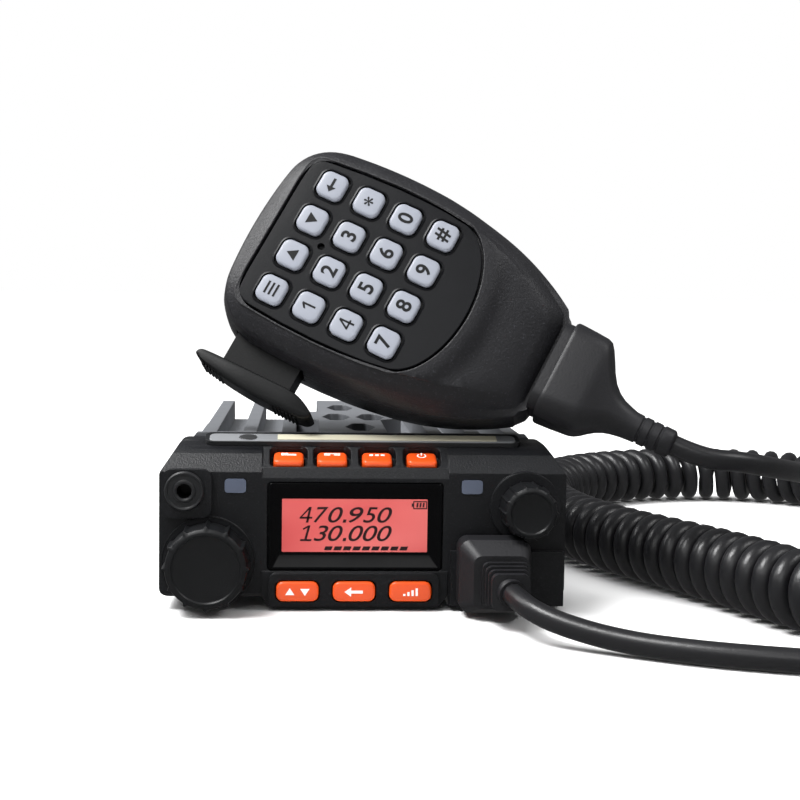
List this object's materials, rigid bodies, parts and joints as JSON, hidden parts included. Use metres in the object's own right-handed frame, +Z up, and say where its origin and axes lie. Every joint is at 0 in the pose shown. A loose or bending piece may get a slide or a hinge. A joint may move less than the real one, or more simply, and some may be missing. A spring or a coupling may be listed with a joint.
{
  "type": "mobile radio transceiver",
  "caption": "Compact mobile radio transceiver with finned cast body, lit display, orange keys and rotary knobs, plus a keypad hand microphone on a curly cord resting on top.",
  "frame": {"origin": "centre of the radio's flat underside, midway across and 58 mm behind the face of the front panel", "axes": "+X to the right of someone facing the front panel, +Y towards the rear, +Z up"},
  "size_m": [0.244, 0.2785, 0.1133],
  "materials": {
    "cast_body": "die-cast body with satin light grey paint, faint orange peel",
    "panel_plastic": "charcoal moulded plastic with a fine spark-eroded texture",
    "trim_metal": "thin satin light grey trim plate",
    "display_glass": "polished black display lens",
    "display_board": "backlit salmon display module",
    "indicator_lens": "translucent smoky blue indicator lens",
    "black_rubber": "soft black silicone rubber",
    "circuit_board": "green solder-masked circuit board",
    "speaker_cone": "dark speaker basket and cone",
    "black_plastic": "plain black moulded plastic",
    "nickel": "nickel plated connector metal",
    "screw_steel": "zinc plated steel screws and button",
    "control_metal": "plain steel shafts and control bodies",
    "knob_plastic": "black knob plastic, satin",
    "cord_rubber": "black polyurethane cord jacket with a soft sheen",
    "clear_plug": "clear modular plug",
    "mic_plastic": "charcoal microphone case plastic with a fine texture",
    "boot_rubber": "soft black rubber boot",
    "ptt_plastic": "black push-to-talk key plastic",
    "orange_key": "backlit orange key with a frosted top",
    "pad_key": "light grey frosted keypad key"
  },
  "bodies": {
    "radio": {"chassis": "cast_body", "bottom_cover": "cast_body", "front_panel": "panel_plastic", "trim_plate": "trim_metal", "lcd_window": "display_glass", "lcd_module": "display_board", "led_lenses": "indicator_lens", "button_membrane": "black_rubber", "control_board": "circuit_board", "main_board": "circuit_board", "speaker": "speaker_cone", "fan_frame": "black_plastic", "antenna_socket": "nickel", "audio_jacks": "nickel", "power_lead_gland": "black_rubber", "body_screws": "screw_steel", "mic_socket": "black_plastic", "channel_encoder": "control_metal", "volume_control": "control_metal", "plug_boot": "cord_rubber", "modular_plug": "clear_plug", "cord_lead": "cord_rubber", "cord_curl": "cord_rubber", "cord_tail": "cord_rubber"},
    "channel_knob": {"channel_knob": "knob_plastic", "channel_shaft": "control_metal"},
    "volume_knob": {"volume_knob": "knob_plastic", "volume_shaft": "control_metal"},
    "fan_rotor": {"fan_rotor": "black_plastic"},
    "microphone": {"mic_front_shell": "mic_plastic", "mic_back_shell": "mic_plastic", "mic_boot": "boot_rubber", "mic_board": "circuit_board", "mic_capsule": "control_metal", "hanger_button": "screw_steel", "mic_screws": "screw_steel"},
    "push_to_talk": {"ptt_button": "ptt_plastic"},
    "top_key_1": {"top_key_1": "orange_key"},
    "top_key_2": {"top_key_2": "orange_key"},
    "top_key_3": {"top_key_3": "orange_key"},
    "top_key_4": {"top_key_4": "orange_key"},
    "front_key_1": {"front_key_1": "orange_key"},
    "front_key_2": {"front_key_2": "orange_key"},
    "front_key_3": {"front_key_3": "orange_key"},
    "mic_key_menu": {"mic_key_menu": "pad_key"},
    "mic_key_up": {"mic_key_up": "pad_key"},
    "mic_key_down": {"mic_key_down": "pad_key"},
    "mic_key_exit": {"mic_key_exit": "pad_key"},
    "mic_key_1": {"mic_key_1": "pad_key"},
    "mic_key_2": {"mic_key_2": "pad_key"},
    "mic_key_3": {"mic_key_3": "pad_key"},
    "mic_key_star": {"mic_key_star": "pad_key"},
    "mic_key_4": {"mic_key_4": "pad_key"},
    "mic_key_5": {"mic_key_5": "pad_key"},
    "mic_key_6": {"mic_key_6": "pad_key"},
    "mic_key_0": {"mic_key_0": "pad_key"},
    "mic_key_7": {"mic_key_7": "pad_key"},
    "mic_key_8": {"mic_key_8": "pad_key"},
    "mic_key_9": {"mic_key_9": "pad_key"},
    "mic_key_hash": {"mic_key_hash": "pad_key"}
  },
  "joints": [
    {"name": "channel_turn", "type": "hinge", "parent": "radio", "child": "channel_knob", "pos_m": [-0.0373, -0.058, 0.0115], "axis": [0, -1, 0], "continuous": true},
    {"name": "volume_turn", "type": "hinge", "parent": "radio", "child": "volume_knob", "pos_m": [0.03895, -0.058, 0.0252], "axis": [0, -1, 0], "range_deg": [-150, 150]},
    {"name": "fan_spin", "type": "hinge", "parent": "radio", "child": "fan_rotor", "pos_m": [0.018, 0.05, 0.017], "axis": [0, 1, 0], "continuous": true},
    {"name": "microphone_lift", "type": "slide", "parent": "radio", "child": "microphone", "axis": [0, 0, 1], "range_m": [0, 0.05]},
    {"name": "talk_press", "type": "slide", "parent": "microphone", "child": "push_to_talk", "axis": [0.472, 0.2818, 0.8353], "range_m": [0, 0.002], "stiffness_N_per_m": 500, "springref_m": -0.001},
    {"name": "top_key_1_press", "type": "slide", "parent": "radio", "child": "top_key_1", "axis": [0, 0.3322, -0.9432], "range_m": [0, 0.0008], "stiffness_N_per_m": 500, "springref_m": -0.0004},
    {"name": "top_key_2_press", "type": "slide", "parent": "radio", "child": "top_key_2", "axis": [0, 0.3322, -0.9432], "range_m": [0, 0.0008], "stiffness_N_per_m": 500, "springref_m": -0.0004},
    {"name": "top_key_3_press", "type": "slide", "parent": "radio", "child": "top_key_3", "axis": [0, 0.3322, -0.9432], "range_m": [0, 0.0008], "stiffness_N_per_m": 500, "springref_m": -0.0004},
    {"name": "top_key_4_press", "type": "slide", "parent": "radio", "child": "top_key_4", "axis": [0, 0.3322, -0.9432], "range_m": [0, 0.0008], "stiffness_N_per_m": 500, "springref_m": -0.0004},
    {"name": "front_key_1_press", "type": "slide", "parent": "radio", "child": "front_key_1", "axis": [0, 1, 0], "range_m": [0, 0.0008], "stiffness_N_per_m": 500, "springref_m": -0.0004},
    {"name": "front_key_2_press", "type": "slide", "parent": "radio", "child": "front_key_2", "axis": [0, 1, 0], "range_m": [0, 0.0008], "stiffness_N_per_m": 500, "springref_m": -0.0004},
    {"name": "front_key_3_press", "type": "slide", "parent": "radio", "child": "front_key_3", "axis": [0, 1, 0], "range_m": [0, 0.0008], "stiffness_N_per_m": 500, "springref_m": -0.0004},
    {"name": "mic_key_menu_press", "type": "slide", "parent": "microphone", "child": "mic_key_menu", "axis": [0.1349, 0.9133, -0.3843], "range_m": [0, 0.0008], "stiffness_N_per_m": 500, "springref_m": -0.0004},
    {"name": "mic_key_up_press", "type": "slide", "parent": "microphone", "child": "mic_key_up", "axis": [0.1349, 0.9133, -0.3843], "range_m": [0, 0.0008], "stiffness_N_per_m": 500, "springref_m": -0.0004},
    {"name": "mic_key_down_press", "type": "slide", "parent": "microphone", "child": "mic_key_down", "axis": [0.1349, 0.9133, -0.3843], "range_m": [0, 0.0008], "stiffness_N_per_m": 500, "springref_m": -0.0004},
    {"name": "mic_key_exit_press", "type": "slide", "parent": "microphone", "child": "mic_key_exit", "axis": [0.1349, 0.9133, -0.3843], "range_m": [0, 0.0008], "stiffness_N_per_m": 500, "springref_m": -0.0004},
    {"name": "mic_key_1_press", "type": "slide", "parent": "microphone", "child": "mic_key_1", "axis": [0.1349, 0.9133, -0.3843], "range_m": [0, 0.0008], "stiffness_N_per_m": 500, "springref_m": -0.0004},
    {"name": "mic_key_2_press", "type": "slide", "parent": "microphone", "child": "mic_key_2", "axis": [0.1349, 0.9133, -0.3843], "range_m": [0, 0.0008], "stiffness_N_per_m": 500, "springref_m": -0.0004},
    {"name": "mic_key_3_press", "type": "slide", "parent": "microphone", "child": "mic_key_3", "axis": [0.1349, 0.9133, -0.3843], "range_m": [0, 0.0008], "stiffness_N_per_m": 500, "springref_m": -0.0004},
    {"name": "mic_key_star_press", "type": "slide", "parent": "microphone", "child": "mic_key_star", "axis": [0.1349, 0.9133, -0.3843], "range_m": [0, 0.0008], "stiffness_N_per_m": 500, "springref_m": -0.0004},
    {"name": "mic_key_4_press", "type": "slide", "parent": "microphone", "child": "mic_key_4", "axis": [0.1349, 0.9133, -0.3843], "range_m": [0, 0.0008], "stiffness_N_per_m": 500, "springref_m": -0.0004},
    {"name": "mic_key_5_press", "type": "slide", "parent": "microphone", "child": "mic_key_5", "axis": [0.1349, 0.9133, -0.3843], "range_m": [0, 0.0008], "stiffness_N_per_m": 500, "springref_m": -0.0004},
    {"name": "mic_key_6_press", "type": "slide", "parent": "microphone", "child": "mic_key_6", "axis": [0.1349, 0.9133, -0.3843], "range_m": [0, 0.0008], "stiffness_N_per_m": 500, "springref_m": -0.0004},
    {"name": "mic_key_0_press", "type": "slide", "parent": "microphone", "child": "mic_key_0", "axis": [0.1349, 0.9133, -0.3843], "range_m": [0, 0.0008], "stiffness_N_per_m": 500, "springref_m": -0.0004},
    {"name": "mic_key_7_press", "type": "slide", "parent": "microphone", "child": "mic_key_7", "axis": [0.1349, 0.9133, -0.3843], "range_m": [0, 0.0008], "stiffness_N_per_m": 500, "springref_m": -0.0004},
    {"name": "mic_key_8_press", "type": "slide", "parent": "microphone", "child": "mic_key_8", "axis": [0.1349, 0.9133, -0.3843], "range_m": [0, 0.0008], "stiffness_N_per_m": 500, "springref_m": -0.0004},
    {"name": "mic_key_9_press", "type": "slide", "parent": "microphone", "child": "mic_key_9", "axis": [0.1349, 0.9133, -0.3843], "range_m": [0, 0.0008], "stiffness_N_per_m": 500, "springref_m": -0.0004},
    {"name": "mic_key_hash_press", "type": "slide", "parent": "microphone", "child": "mic_key_hash", "axis": [0.1349, 0.9133, -0.3843], "range_m": [0, 0.0008], "stiffness_N_per_m": 500, "springref_m": -0.0004}
  ]
}
